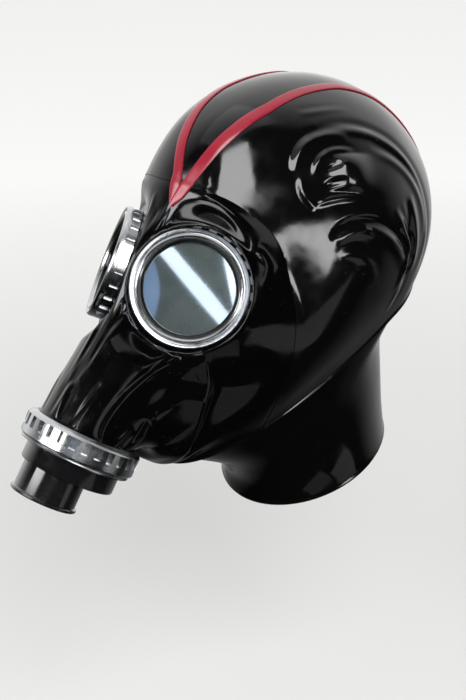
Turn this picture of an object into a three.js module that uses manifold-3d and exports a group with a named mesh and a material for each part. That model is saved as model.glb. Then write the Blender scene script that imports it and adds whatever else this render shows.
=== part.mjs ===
// Full-head hood mask of moulded rubber sheet with two round lenses and a screw connector on its snout.
// Millimetres. +Z up, the wearer looks along -Y with their left at +X, the origin is the top of the crown.
import * as THREE from 'three';
import { mergeVertices } from 'three/addons/utils/BufferGeometryUtils.js';
import Module from 'manifold-3d';

const wasm = await Module();
wasm.setup();

// Driving dimensions. SHEET_GAP is what rings and trims stand off the faceted sheet below them.
const HEAD_WIDTH = 156;
const HEAD_LENGTH = 190;
const HOOD_HEIGHT = 264;
const WALL = 1.6;
const SEAM_GAP = 0.3;
const FIT_GAP = 0.3;
const SHEET_GAP = 0.7;

// Neck piece: how far its upper edge is tucked up under the head panels
const NECK_TUCK = 0.3;

// Lenses: the front centre of the left one, the way it looks, and its turned parts
const LENS_SPACING = 68;
const LENS_FORWARD = HEAD_LENGTH * 0.61368;
const LENS_DROP = HOOD_HEIGHT * 0.35227;
const LENS_SPLAY = 44;
const LENS_LIFT = 23;
const LENS_RING_RADIUS = 33.2;
const LENS_RING_BREADTH = 6;
const LENS_RING_BORE = LENS_RING_RADIUS - LENS_RING_BREADTH;
const LENS_RING_HEIGHT = 9.2;
const LENS_NOTCHES = 24;
const LENS_NOTCH_DEPTH = 1.3;
const LENS_NOTCH_HEIGHT = 4.8;
const LENS_RIDGE = 0.9;
const LENS_GROOVE = 1;
const GASKET_LIP = 1.7;
const GASKET_BORE = LENS_RING_BORE - GASKET_LIP;
const GASKET_HEIGHT = 2.6;
const GLASS_THICKNESS = 2.5;
const GLASS_SETBACK = 2.2;
const SEAT_FLAT = 43;
const SEAT_FADE = 60;

// Connector: where its ring meets the snout, how steeply it points down, and its turned parts
const CONNECTOR_FORWARD = HEAD_LENGTH * 0.86632;
const CONNECTOR_DROP = HOOD_HEIGHT * 0.65644;
const CONNECTOR_TILT = 58.7;
const CONNECTOR_LEAN = 5;
const MOUTH_RADIUS = 27.5;
const MOUTH_TUCK = 3;
const MOUTH_FLARE = 1.1;
const RING_RADIUS = 33.8;
const RING_HEEL_RADIUS = 30;
const RING_HEEL_HEIGHT = 1.7;
const RING_HEIGHT = 16.4;
const RING_NOTCHES = 28;
const RING_NOTCH_DEPTH = 1.9;
const RING_NOTCH_START = 2.8;
const RING_NOTCH_HEIGHT = 6.2;
const BODY_WALL = 3;
const BODY_DROP = 11;
const STUB_RADIUS = 18.25;
const STUB_BORE = 15.4;
const STUB_LENGTH = 17;
const STUB_OFFSET = 9;
const LIP_RADIUS = 19.7;
const LIP_THICKNESS = 2;

// Trims over the crown seams
const TRIM_WIDTH = 5.2;
const TRIM_THICKNESS = 0.9;
const TRIM_LEAN = 8.8;
const TRIM_TIP = 0.06;
const CROWN_CUT = 5;

// Facets and the small steps used in measuring slopes
const HOOD_COLUMNS = 36;
const HOOD_ROWS = 22;
const NECK_ROWS = 5;
const TRIM_ROWS = 30;
const SLIM_SIDES = 28;
const EYE_SIDES = 20;
const SEAM_STEPS = 3;
const PROBE = 0.02;
const NOTCH_SHARE = 0.96;

const { degToRad, lerp, clamp, smoothstep } = THREE.MathUtils;

// Sections of the head part, from the snout's mouth over the face and crown to the neck seam.
// Each runs from its outer bend (top) to its inner bend under the chin (low). Lengths are shares: y of
// HEAD_LENGTH, z of HOOD_HEIGHT, half of HEAD_WIDTH. widest is where it is widest, from top to low.
const SECTIONS = [
  {
    name: 'mouth', topY: -0.989, topZ: -0.598, lowY: -0.737, lowZ: -0.712,
    half: 0.176, widest: 0.5, topPower: 1, lowPower: 1,
  },
  {
    name: 'snout', topY: -0.921, topZ: -0.542, lowY: -0.69, lowZ: -0.731,
    half: 0.19, widest: 0.56, topPower: 1, lowPower: 1,
  },
  {
    name: 'cheek', topY: -0.784, topZ: -0.439, lowY: -0.674, lowZ: -0.761,
    half: 0.208, widest: 0.62, topPower: 0.96, lowPower: 1,
  },
  {
    name: 'eyes', topY: -0.668, topZ: -0.326, lowY: -0.653, lowZ: -0.776,
    half: 0.234, widest: 0.63, topPower: 0.96, lowPower: 0.95,
  },
  {
    name: 'brow', topY: -0.579, topZ: -0.235, lowY: -0.637, lowZ: -0.784,
    half: 0.259, widest: 0.64, topPower: 1, lowPower: 0.92,
  },
  {
    name: 'forehead', topY: -0.505, topZ: -0.144, lowY: -0.624, lowZ: -0.79,
    half: 0.276, widest: 0.63, topPower: 0.95, lowPower: 0.9,
  },
  {
    name: 'front', topY: -0.353, topZ: -0.034, lowY: -0.611, lowZ: -0.794,
    half: 0.301, widest: 0.5, topPower: 0.82, lowPower: 0.85,
  },
  {
    name: 'crown', topY: -0.068, topZ: 0.006, lowY: -0.6, lowZ: -0.796,
    half: 0.397, widest: 0.34, topPower: 0.98, lowPower: 0.92,
  },
  {
    name: 'back', topY: 0.232, topZ: -0.04, lowY: -0.59, lowZ: -0.798,
    half: 0.474, widest: 0.31, topPower: 1, lowPower: 1.1,
  },
  {
    name: 'occiput', topY: 0.442, topZ: -0.182, lowY: -0.582, lowZ: -0.799,
    half: 0.465, widest: 0.3, topPower: 1, lowPower: 1.1,
  },
  {
    name: 'nape', topY: 0.468, topZ: -0.333, lowY: -0.574, lowZ: -0.799,
    half: 0.42, widest: 0.26, topPower: 0.9, lowPower: 0.98,
  },
  {
    name: 'seam', topY: 0.4, topZ: -0.455, lowY: -0.566, lowZ: -0.799,
    half: 0.38, widest: 0.24, topPower: 0.7, lowPower: 0.9,
  },
];

// Sections of the neck piece below the seam, in the same shares
const NECK_SECTIONS = [
  {
    name: 'throat', topY: 0.358, topZ: -0.552, lowY: -0.395, lowZ: -0.842,
    half: 0.334, widest: 0.45, topPower: 1, lowPower: 0.95,
  },
  {
    name: 'middle', topY: 0.347, topZ: -0.67, lowY: -0.284, lowZ: -0.89,
    half: 0.322, widest: 0.49, topPower: 1, lowPower: 1,
  },
  {
    name: 'lower', topY: 0.35, topZ: -0.768, lowY: -0.211, lowZ: -0.947,
    half: 0.322, widest: 0.5, topPower: 1, lowPower: 1,
  },
  {
    name: 'rim', topY: 0.358, topZ: -0.85, lowY: -0.189, lowZ: -1,
    half: 0.333, widest: 0.5, topPower: 1, lowPower: 1,
  },
];

// Face seam in side view, from above the brow round the outer side of the lenses to the jaw.
// forward is a share of HEAD_LENGTH, drop a share of HOOD_HEIGHT.
const FACE_SEAM = [
  { forward: 0.62, drop: 0.148 },
  { forward: 0.503, drop: 0.167 },
  { forward: 0.418, drop: 0.21 },
  { forward: 0.35, drop: 0.283 },
  { forward: 0.328, drop: 0.42 },
  { forward: 0.333, drop: 0.545 },
  { forward: 0.352, drop: 0.65 },
  { forward: 0.356, drop: 0.9 },
];

// Crown trims: station along the head part, and half their spacing there as a share of HEAD_WIDTH.
// lean is the share of TRIM_LEAN by which the pair lies towards the wearer's left.
const TRIM_ROUTE = [
  { station: 4.42, spread: 0, lean: 0.87 },
  { station: 5, spread: 0.026, lean: 1 },
  { station: 5.5, spread: 0.065, lean: 0.8 },
  { station: 6, spread: 0.097, lean: 0.69 },
  { station: 6.5, spread: 0.122, lean: 0.5 },
  { station: 7, spread: 0.125, lean: 0.36 },
  { station: 7.5, spread: 0.141, lean: 0.14 },
  { station: 8, spread: 0.173, lean: 0 },
  { station: 8.5, spread: 0.212, lean: 0 },
  { station: 9, spread: 0.231, lean: 0 },
  { station: 10, spread: 0.224, lean: 0 },
  { station: 10.95, spread: 0.192, lean: 0 },
];

// Main folds and swellings of the sheet on each side: from and to are angle (degrees from the outer bend)
// and station; reach is their half breadth and height their rise, as shares of HEAD_WIDTH.
const SWELLS = [
  { name: 'ear', from: [58, 6.9], to: [60, 7.25], reach: 0.13, height: 0.014 },
  { name: 'jowl', from: [120, 2.6], to: [128, 4.6], reach: 0.11, height: 0.018 },
  { name: 'cheek_fold', from: [100, 1.6], to: [104, 3.4], reach: 0.045, height: -0.012 },
  { name: 'back_fold', from: [50, 8.6], to: [84, 8.8], reach: 0.05, height: 0.009 },
  { name: 'nose_bridge', from: [0, 2.2], to: [0, 4.2], reach: 0.06, height: 0.012 },
];

// A natural cubic spline through values at 0, 1, 2 and so on
function spline(values) {
  const last = values.length - 1;
  const bend = new Array(last + 1).fill(0);
  const carry = new Array(last + 1).fill(0);
  for (let i = 1; i < last; i += 1) {
    const pivot = 4 - (i > 1 ? 1 / bend[i - 1] : 0);
    bend[i] = pivot;
    carry[i] = (6 * (values[i - 1] - 2 * values[i] + values[i + 1]) - (i > 1 ? carry[i - 1] : 0)) / pivot;
  }
  const curve = new Array(last + 1).fill(0);
  for (let i = last - 1; i > 0; i -= 1) {
    curve[i] = carry[i] - curve[i + 1] / bend[i];
  }
  return (t) => {
    const at = clamp(t, 0, last);
    const i = Math.min(Math.floor(at), last - 1);
    const b = at - i;
    const a = 1 - b;
    const curved = ((a ** 3 - a) * curve[i] + (b ** 3 - b) * curve[i + 1]) / 6;
    return a * values[i] + b * values[i + 1] + curved;
  };
}

// Values of one column of a table whose rows sit at uneven stations, joined by straight stretches
function along(rows, column, station) {
  const next = rows.findIndex((row) => row.station > station);
  if (next === 0) return rows[0][column];
  if (next < 0) return rows[rows.length - 1][column];
  const before = rows[next - 1];
  const after = rows[next];
  const share = (station - before.station) / (after.station - before.station);
  return lerp(before[column], after[column], share);
}

// Axes of the lenses and the connector
const lensAxis = (side) => new THREE.Vector3(
  side * Math.sin(degToRad(LENS_SPLAY)) * Math.cos(degToRad(LENS_LIFT)),
  -Math.cos(degToRad(LENS_SPLAY)) * Math.cos(degToRad(LENS_LIFT)),
  Math.sin(degToRad(LENS_LIFT)),
);
const lensSeat = (side) => new THREE.Vector3(side * LENS_SPACING / 2, -LENS_FORWARD, -LENS_DROP)
  .addScaledVector(lensAxis(side), -(LENS_RING_HEIGHT + SHEET_GAP));
const connectorTilt = degToRad(CONNECTOR_TILT);
const connectorAxis = new THREE.Vector3(0, -Math.cos(connectorTilt), -Math.sin(connectorTilt))
  .applyAxisAngle(new THREE.Vector3(0, 1, 0), degToRad(CONNECTOR_LEAN));
const connectorSeat = new THREE.Vector3(0, -CONNECTOR_FORWARD, -CONNECTOR_DROP);
const connectorUp = new THREE.Vector3(0, -Math.sin(connectorTilt), Math.cos(connectorTilt));

// The columns of a section table as smooth functions of the station, in millimetres
function sectionColumns(rows) {
  const column = (name, size) => spline(rows.map((row) => row[name] * size));
  return {
    topY: column('topY', HEAD_LENGTH),
    topZ: column('topZ', HOOD_HEIGHT),
    lowY: column('lowY', HEAD_LENGTH),
    lowZ: column('lowZ', HOOD_HEIGHT),
    half: column('half', HEAD_WIDTH),
    widest: column('widest', 1),
    topPower: column('topPower', 1),
    lowPower: column('lowPower', 1),
  };
}

// A point of a section; angle 0 is its outer bend and PI its inner bend
function sectionPoint(columns, angle, station) {
  const top = new THREE.Vector2(columns.topY(station), columns.topZ(station));
  const low = new THREE.Vector2(columns.lowY(station), columns.lowZ(station));
  const middle = top.clone().lerp(low, columns.widest(station));
  const upper = Math.cos(angle) > 0;
  const end = upper ? top : low;
  const centred = middle.clone().lerp(end, Math.abs(Math.cos(angle)));
  const power = upper ? columns.topPower(station) : columns.lowPower(station);
  const side = Math.sign(Math.sin(angle)) * Math.abs(Math.sin(angle)) ** power;
  return new THREE.Vector3(columns.half(station) * side, centred.x, centred.y);
}

// A point on the connector's axis system, at an angle from the side that faces up and forward
const connectorAcross = new THREE.Vector3().crossVectors(connectorUp, connectorAxis).normalize();
const connectorRise = new THREE.Vector3().crossVectors(connectorAxis, connectorAcross).normalize();

function onConnector(angle, radius, height) {
  return connectorSeat.clone()
    .addScaledVector(connectorAxis, height)
    .addScaledVector(connectorRise, radius * Math.cos(angle))
    .addScaledVector(connectorAcross, radius * Math.sin(angle));
}

// The snout ends in a true circle behind the connector ring, a little wider than the sleeve inside the ring
function roundMouth(point, angle, station) {
  const rim = onConnector(angle, MOUTH_RADIUS + MOUTH_FLARE, -FIT_GAP);
  return point.lerp(rim, 1 - smoothstep(station, 0, 1));
}

// How fully the sheet is drawn onto the flat seat of the lens on its own side, and where that puts it
function seatOf(point) {
  const axis = lensAxis(point.x < 0 ? -1 : 1);
  const slide = new THREE.Vector3(0, axis.y, axis.z).normalize();
  const offset = point.clone().sub(lensSeat(point.x < 0 ? -1 : 1));
  const height = offset.dot(axis);
  const target = point.clone().addScaledVector(slide, -height / slide.dot(axis));
  const distance = target.distanceTo(lensSeat(point.x < 0 ? -1 : 1));
  const near = 1 - smoothstep(Math.abs(height), SEAT_FADE / 3, SEAT_FADE);
  return { target, share: near * (1 - smoothstep(distance, SEAT_FLAT, SEAT_FADE)) };
}

// The sheet lies flat against the back of each lens ring
function seatLenses(point) {
  const { target, share } = seatOf(point);
  return point.lerp(target, share);
}

const headColumns = sectionColumns(SECTIONS);
const LAST_STATION = SECTIONS.length - 1;

function plainHead(angle, station) {
  return seatLenses(roundMouth(sectionPoint(headColumns, angle, station), angle, station));
}

// The outward normal of a surface given as a function of angle and station
function normalOf(surface, angle, station) {
  const round = surface(angle + PROBE, station).sub(surface(angle - PROBE, station));
  const before = Math.max(0, station - PROBE);
  const after = Math.min(LAST_STATION, station + PROBE);
  const forward = surface(angle, after).sub(surface(angle, before));
  return new THREE.Vector3().crossVectors(round, forward).normalize();
}

// Swells as short lines on the plain surface, on both sides
const swellLines = SWELLS.flatMap((swell) => [1, -1].map((side) => ({
  line: new THREE.Line3(
    plainHead(side * degToRad(swell.from[0]), swell.from[1]),
    plainHead(side * degToRad(swell.to[0]), swell.to[1]),
  ),
  reach: swell.reach * HEAD_WIDTH,
  height: swell.height * HEAD_WIDTH * (swell.from[0] === 0 ? 1 / 2 : 1),
})));

function head(angle, station) {
  const point = plainHead(angle, station);
  const nearest = new THREE.Vector3();
  let rise = 0;
  for (const { line, reach, height } of swellLines) {
    line.closestPointToPoint(point, true, nearest);
    rise += height * Math.exp(-((nearest.distanceTo(point) / reach) ** 2));
  }
  const calm = smoothstep(station, 0, 1) * (1 - smoothstep(station, LAST_STATION - 1, LAST_STATION));
  const clear = 1 - seatOf(point).share;
  return point.addScaledVector(normalOf(plainHead, angle, station), rise * calm * clear);
}

const headInset = (angle, station, depth) => head(angle, station)
  .addScaledVector(normalOf(head, angle, station), -depth);

// The neck piece as one smooth curve for each angle, from under the head panels to the rim
const neckColumns = sectionColumns(NECK_SECTIONS);

function neckCurve(angle) {
  const tuck = WALL + FIT_GAP;
  const points = [
    headInset(angle, LAST_STATION - NECK_TUCK, tuck),
    headInset(angle, LAST_STATION, tuck),
  ];
  NECK_SECTIONS.forEach((row, station) => points.push(sectionPoint(neckColumns, angle, station)));
  return new THREE.CatmullRomCurve3(points, false, 'centripetal');
}

// Turning mesh geometry into manifold solids and back
function toSolid(geometry) {
  const bare = geometry.clone();
  bare.deleteAttribute('normal');
  bare.deleteAttribute('uv');
  const merged = mergeVertices(bare, 1e-4);
  return new wasm.Manifold(new wasm.Mesh({
    numProp: 3,
    vertProperties: new Float32Array(merged.attributes.position.array),
    triVerts: new Uint32Array(merged.index.array),
  }));
}

function toGeometry(solid) {
  const mesh = solid.getMesh();
  const geometry = new THREE.BufferGeometry();
  geometry.setAttribute('position', new THREE.BufferAttribute(mesh.vertProperties, 3));
  geometry.setIndex(new THREE.BufferAttribute(mesh.triVerts, 1));
  return geometry;
}

// A mesh over a grid of points that closes on itself along its columns, and along its rows unless capped.
// Each cell is split along its shorter diagonal.
function gridGeometry(grid, capped) {
  const rings = grid.length;
  const count = grid[0].length;
  const positions = grid.flat().flatMap((point) => point.toArray());
  const index = [];
  for (let i = 0; i < (capped ? rings - 1 : rings); i += 1) {
    for (let j = 0; j < count; j += 1) {
      const here = i * count;
      const next = ((i + 1) % rings) * count;
      const k = (j + 1) % count;
      const after = grid[(i + 1) % rings];
      if (grid[i][j].distanceTo(after[k]) < grid[i][k].distanceTo(after[j])) {
        index.push(here + j, next + j, next + k, here + j, next + k, here + k);
      } else {
        index.push(here + j, next + j, here + k, here + k, next + j, next + k);
      }
    }
  }
  if (capped) {
    const last = (rings - 1) * count;
    for (let j = 1; j < count - 1; j += 1) {
      index.push(0, j, j + 1, last, last + j + 1, last + j);
    }
  }
  const geometry = new THREE.BufferGeometry();
  geometry.setAttribute('position', new THREE.Float32BufferAttribute(positions, 3));
  geometry.setIndex(index);
  return geometry;
}

// A hollow shell: the outer skin out along each column and the inner skin back
function shellGeometry(outer, inner, rows) {
  const grid = [];
  for (let i = 0; i < HOOD_COLUMNS; i += 1) {
    const angle = (i / HOOD_COLUMNS) * 2 * Math.PI;
    const steps = Array.from({ length: rows + 1 }, (unused, j) => j / rows);
    grid.push([...outer(angle, steps), ...inner(angle, steps).reverse()]);
  }
  return gridGeometry(grid, false);
}

// The head part's shell, with the sleeve that runs on into the connector ring
function headShell() {
  const sleeve = (angle, radius, height) => onConnector(angle, radius, height);
  const outer = (angle, steps) => [
    sleeve(angle, MOUTH_RADIUS, MOUTH_TUCK),
    sleeve(angle, MOUTH_RADIUS, -FIT_GAP),
    ...steps.map((share) => head(angle, share * LAST_STATION)),
  ];
  const inner = (angle, steps) => [
    sleeve(angle, MOUTH_RADIUS - WALL, MOUTH_TUCK),
    sleeve(angle, MOUTH_RADIUS - WALL, -2 * WALL),
    ...steps.slice(1).map((share) => headInset(angle, share * LAST_STATION, WALL)),
  ];
  return toSolid(shellGeometry(outer, inner, HOOD_ROWS));
}

function neckGeometry() {
  const curves = new Map();
  const curveAt = (angle) => {
    if (!curves.has(angle)) curves.set(angle, neckCurve(angle));
    return curves.get(angle);
  };
  const outer = (angle, share) => curveAt(angle).getPoint(share);
  const inner = (angle, share) => {
    const round = curveAt(angle + PROBE).getPoint(share).sub(curveAt(angle - PROBE).getPoint(share));
    const down = curveAt(angle).getTangent(share);
    const normal = new THREE.Vector3().crossVectors(round, down).normalize();
    return outer(angle, share).addScaledVector(normal, -WALL);
  };
  const each = (skin) => (angle, steps) => steps.map((share) => skin(angle, share));
  return shellGeometry(each(outer), each(inner), NECK_ROWS);
}

// A solid bounded by the face seam, reaching past the hood on the front or the back of it
function seamSide(front) {
  const reach = 2 * HOOD_HEIGHT;
  const way = front ? -1 : 1;
  const route = new THREE.SplineCurve(FACE_SEAM.map(({ forward, drop }) => new THREE.Vector2(
    -forward * HEAD_LENGTH + way * SEAM_GAP / 2,
    -drop * HOOD_HEIGHT + way * SEAM_GAP / 2,
  )));
  const points = route.getPoints(SEAM_STEPS * (FACE_SEAM.length - 1));
  const start = points[0];
  const end = points[points.length - 1];
  const below = new THREE.Vector2(end.x, -reach);
  const ahead = new THREE.Vector2(-reach, start.y);
  const far = front
    ? [new THREE.Vector2(-reach, -reach)]
    : [new THREE.Vector2(reach, -reach), new THREE.Vector2(reach, reach), new THREE.Vector2(-reach, reach)];
  const shape = new THREE.Shape([...points, below, ...far, ahead]);
  const geometry = new THREE.ExtrudeGeometry(shape, { depth: 2 * HEAD_WIDTH, bevelEnabled: false });
  const standing = new THREE.Matrix4().makeBasis(
    new THREE.Vector3(0, 1, 0),
    new THREE.Vector3(0, 0, 1),
    new THREE.Vector3(1, 0, 0),
  );
  geometry.applyMatrix4(standing).translate(-HEAD_WIDTH, 0, 0);
  return toSolid(geometry);
}

// The angle at which a station's section is a given distance from the middle plane
function angleAt(distance, station) {
  const share = clamp(Math.abs(distance) / headColumns.half(station), 0, 1);
  return Math.sign(distance) * Math.asin(share ** (1 / headColumns.topPower(station)));
}

// A strip along a crown trim, from one distance off its middle line to another, and between two heights.
// It can run on past its last station by a straight tail.
function trimStrip(side, edges, heights, rows, tail) {
  const first = TRIM_ROUTE[0].station;
  const last = TRIM_ROUTE[TRIM_ROUTE.length - 1].station;
  const grid = [];
  for (let i = 0; i <= rows; i += 1) {
    const station = lerp(first, last, i / rows);
    const middle = along(TRIM_ROUTE, 'lean', station) * TRIM_LEAN;
    const spread = along(TRIM_ROUTE, 'spread', station) * HEAD_WIDTH;
    const corner = (edge, height) => {
      const distance = Math.max(SEAM_GAP / 2, spread + edge(i / rows));
      const angle = angleAt(middle + side * distance, station);
      return head(angle, station).addScaledVector(normalOf(head, angle, station), height);
    };
    const ring = [
      corner(edges[0], heights[0]),
      corner(edges[1], heights[0]),
      corner(edges[1], heights[1]),
      corner(edges[0], heights[1]),
    ];
    grid.push(side > 0 ? ring : ring.reverse());
  }
  const [before, end] = grid.slice(-2);
  grid.push(end.map((point, i) => point.clone().add(point.clone().sub(before[i]).setLength(tail))));
  return gridGeometry(grid, true);
}

// Half the trim's breadth, drawn to a point at the front tip
const trimHalf = (share) => (TRIM_WIDTH / 2) * smoothstep(share, -TRIM_TIP / 2, TRIM_TIP);

function trimGeometry(side) {
  const edges = [(share) => -trimHalf(share), (share) => trimHalf(share) + SEAM_GAP];
  return trimStrip(side, edges, [SHEET_GAP, SHEET_GAP + TRIM_THICKNESS], TRIM_ROWS, TRIM_THICKNESS);
}

// The crown seam below a trim, as a thin cutter through the sheet
function crownSeam(side) {
  const edges = [() => -SEAM_GAP / 2, () => SEAM_GAP / 2];
  return toSolid(trimStrip(side, edges, [-CROWN_CUT, CROWN_CUT], TRIM_ROWS / 2, 2 * CROWN_CUT));
}

// A turned solid from a closed profile of radius and height pairs, with a flat facing +X
function turned(profile, sides) {
  const points = profile.map(([radius, height]) => new THREE.Vector2(radius, height));
  points.push(points[0].clone());
  return new THREE.LatheGeometry(points, sides).rotateX(Math.PI / 2).rotateZ(Math.PI / sides);
}

// Puts a turned solid's axis along a given one, with its foot at a given place
function aim(object, axis, place) {
  object.quaternion.setFromUnitVectors(new THREE.Vector3(0, 0, 1), axis);
  object.position.copy(place);
  return object;
}

function aimedSolid(geometry, axis, place) {
  const holder = aim(new THREE.Object3D(), axis, place);
  holder.updateMatrix();
  return toSolid(geometry.clone().applyMatrix4(holder.matrix));
}

// Notches round a ring's edge, joined into one cutter; each is a little narrower than one of 2 * count flats
function notchCutter(count, radius, depth, start, height) {
  const width = NOTCH_SHARE * 2 * radius * Math.tan(Math.PI / (2 * count));
  let cutter = null;
  for (let i = 0; i < count; i += 1) {
    const notch = new THREE.BoxGeometry(2 * depth, width, height)
      .translate(radius, 0, start + height / 2)
      .rotateZ((i / count) * 2 * Math.PI);
    cutter = cutter ? cutter.add(toSolid(notch)) : toSolid(notch);
  }
  return cutter;
}

function lensRingGeometry() {
  const face = LENS_RING_HEIGHT;
  const profile = [
    [LENS_RING_BORE, 0],
    [LENS_RING_RADIUS, 0],
    [LENS_RING_RADIUS, face - LENS_RIDGE],
    [LENS_RING_RADIUS - LENS_GROOVE, face],
    [LENS_RING_RADIUS - 2.5 * LENS_GROOVE, face - LENS_RIDGE],
    [LENS_RING_RADIUS - 4 * LENS_GROOVE, face],
    [LENS_RING_BORE, face - LENS_RIDGE],
  ];
  const ring = toSolid(turned(profile, 2 * LENS_NOTCHES));
  const notches = notchCutter(LENS_NOTCHES, LENS_RING_RADIUS, LENS_NOTCH_DEPTH, -1, LENS_NOTCH_HEIGHT + 1);
  return toGeometry(ring.subtract(notches));
}

function connectorRingGeometry() {
  const bore = MOUTH_RADIUS + FIT_GAP;
  const profile = [
    [bore, 0],
    [RING_HEEL_RADIUS, 0],
    [RING_HEEL_RADIUS, RING_HEEL_HEIGHT],
    [RING_RADIUS, RING_NOTCH_START + RING_NOTCH_DEPTH / 2],
    [RING_RADIUS, RING_HEIGHT - RING_NOTCH_START],
    [RING_HEEL_RADIUS, RING_HEIGHT],
    [bore, RING_HEIGHT],
  ];
  const ring = toSolid(turned(profile, RING_NOTCHES));
  const [depth, start, height] = [RING_NOTCH_DEPTH, RING_NOTCH_START, RING_NOTCH_HEIGHT];
  const notches = notchCutter(RING_NOTCHES, RING_RADIUS, depth, start, height);
  return toGeometry(ring.subtract(notches));
}

// The connector's black body: a cup that fills the ring, and an offset stub with a lip
function connectorBodyGeometry() {
  const rear = MOUTH_TUCK + FIT_GAP;
  const front = RING_HEIGHT + BODY_DROP;
  const bore = MOUTH_RADIUS - BODY_WALL;
  const cup = turned([
    [bore, rear],
    [MOUTH_RADIUS, rear],
    [MOUTH_RADIUS, front - 1],
    [MOUTH_RADIUS - 1, front],
    [0, front],
    [0, front - BODY_WALL],
    [bore, front - BODY_WALL],
  ], SLIM_SIDES);
  const end = front + STUB_LENGTH;
  const stub = turned([
    [0, front - BODY_WALL / 2],
    [STUB_RADIUS, front - BODY_WALL / 2],
    [STUB_RADIUS, end - LIP_THICKNESS],
    [LIP_RADIUS, end - LIP_THICKNESS],
    [LIP_RADIUS, end - LIP_THICKNESS / 4],
    [LIP_RADIUS - LIP_THICKNESS / 4, end],
    [0, end],
  ], SLIM_SIDES);
  const hole = new THREE.CylinderGeometry(STUB_BORE, STUB_BORE, 4 * STUB_LENGTH, SLIM_SIDES)
    .rotateX(Math.PI / 2)
    .translate(0, 0, front);
  stub.translate(0, STUB_OFFSET, 0);
  hole.translate(0, STUB_OFFSET, 0);
  return toGeometry(toSolid(cup).add(toSolid(stub)).subtract(toSolid(hole)));
}

// Materials
const rubber = () => new THREE.MeshStandardMaterial({ color: 0x0b0b0c, roughness: 0.18, metalness: 0 });
const crimson = () => new THREE.MeshStandardMaterial({ color: 0xa02136, roughness: 0.28, metalness: 0 });
const polished = () => new THREE.MeshStandardMaterial({ color: 0xc9cbcc, roughness: 0.22, metalness: 1 });
const plastic = () => new THREE.MeshStandardMaterial({ color: 0x111213, roughness: 0.25, metalness: 0 });
const glass = () => new THREE.MeshStandardMaterial({ color: 0x3d4a4a, roughness: 0.05, metalness: 0 });

const mask = new THREE.Group();

function addPiece(name, geometry, material) {
  const mesh = new THREE.Mesh(geometry, material);
  mesh.name = name;
  mask.add(mesh);
  return mesh;
}

// Hood panels
function addHood() {
  const shell = headShell();
  const eyeCut = new THREE.CylinderGeometry(LENS_RING_BORE, LENS_RING_BORE, SEAT_FLAT, EYE_SIDES)
    .rotateX(Math.PI / 2);
  const eyeHoles = [1, -1].map((side) => aimedSolid(eyeCut, lensAxis(side), lensSeat(side)));
  const face = eyeHoles.reduce((solid, hole) => solid.subtract(hole), shell.intersect(seamSide(true)));
  addPiece('face_piece', toGeometry(face), rubber());
  const panels = shell.intersect(seamSide(false)).subtract(crownSeam(1)).subtract(crownSeam(-1)).decompose();
  const middleOf = (solid) => solid.boundingBox().min[0] + solid.boundingBox().max[0];
  panels.sort((a, b) => middleOf(a) - middleOf(b));
  for (const [i, name] of ['skull_right', 'crown_panel', 'skull_left'].entries()) {
    addPiece(name, toGeometry(panels[i]), rubber());
  }
  addPiece('neck_piece', neckGeometry(), rubber());
}

function addTrims() {
  addPiece('trim_left', trimGeometry(1), crimson());
  addPiece('trim_right', trimGeometry(-1), crimson());
}

// Lens ring, glass and gasket on each side
function addLenses() {
  const ring = lensRingGeometry();
  const glassTop = GLASS_SETBACK + GLASS_THICKNESS;
  const paneRadius = LENS_RING_BORE - FIT_GAP;
  const pane = new THREE.CylinderGeometry(paneRadius, paneRadius, GLASS_THICKNESS, SLIM_SIDES)
    .rotateX(Math.PI / 2)
    .translate(0, 0, GLASS_SETBACK + GLASS_THICKNESS / 2);
  const foot = glassTop + FIT_GAP;
  const gasket = turned([
    [GASKET_BORE, foot],
    [paneRadius, foot],
    [paneRadius, foot + GASKET_HEIGHT],
    [(GASKET_BORE + paneRadius) / 2, foot + GASKET_HEIGHT],
  ], SLIM_SIDES);
  for (const [side, name] of [[1, 'left'], [-1, 'right']]) {
    const axis = lensAxis(side);
    const place = lensSeat(side).addScaledVector(axis, SHEET_GAP);
    aim(addPiece(`lens_ring_${name}`, ring, polished()), axis, place);
    aim(addPiece(`lens_glass_${name}`, pane, glass()), axis, place);
    aim(addPiece(`lens_gasket_${name}`, gasket, rubber()), axis, place);
  }
}

function addConnector() {
  const turn = new THREE.Matrix4().makeBasis(connectorAcross, connectorRise, connectorAxis);
  const ring = addPiece('connector_ring', connectorRingGeometry(), polished());
  const body = addPiece('connector_body', connectorBodyGeometry(), plastic());
  for (const piece of [ring, body]) {
    piece.quaternion.setFromRotationMatrix(turn);
    piece.position.copy(connectorSeat);
  }
}

addHood();
addTrims();
addLenses();
addConnector();

export default mask;
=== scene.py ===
"""Looks of the hood mask: smooth folded rubber sheets, turned metal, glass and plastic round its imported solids.

Lengths are millimetres in the part's own frame until a mesh is made: +Z up, the wearer looks along -Y, and the
wearer's left is +X.
"""

import math
from collections import namedtuple

import bpy
import numpy as np
from mathutils import Matrix, Vector


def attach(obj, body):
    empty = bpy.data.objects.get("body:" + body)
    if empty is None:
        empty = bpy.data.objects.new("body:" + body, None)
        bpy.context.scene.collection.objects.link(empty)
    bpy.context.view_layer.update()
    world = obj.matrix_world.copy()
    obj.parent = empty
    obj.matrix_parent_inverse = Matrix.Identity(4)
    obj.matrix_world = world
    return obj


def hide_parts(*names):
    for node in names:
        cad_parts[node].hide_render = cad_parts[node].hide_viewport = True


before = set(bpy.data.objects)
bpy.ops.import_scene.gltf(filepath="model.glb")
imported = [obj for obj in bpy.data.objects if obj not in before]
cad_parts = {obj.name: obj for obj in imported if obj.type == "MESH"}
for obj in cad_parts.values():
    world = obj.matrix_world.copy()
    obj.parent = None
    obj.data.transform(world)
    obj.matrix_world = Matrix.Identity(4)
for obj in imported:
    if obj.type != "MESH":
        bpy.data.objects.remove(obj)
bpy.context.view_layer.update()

MM = 0.001
BODY = "root"

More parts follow.
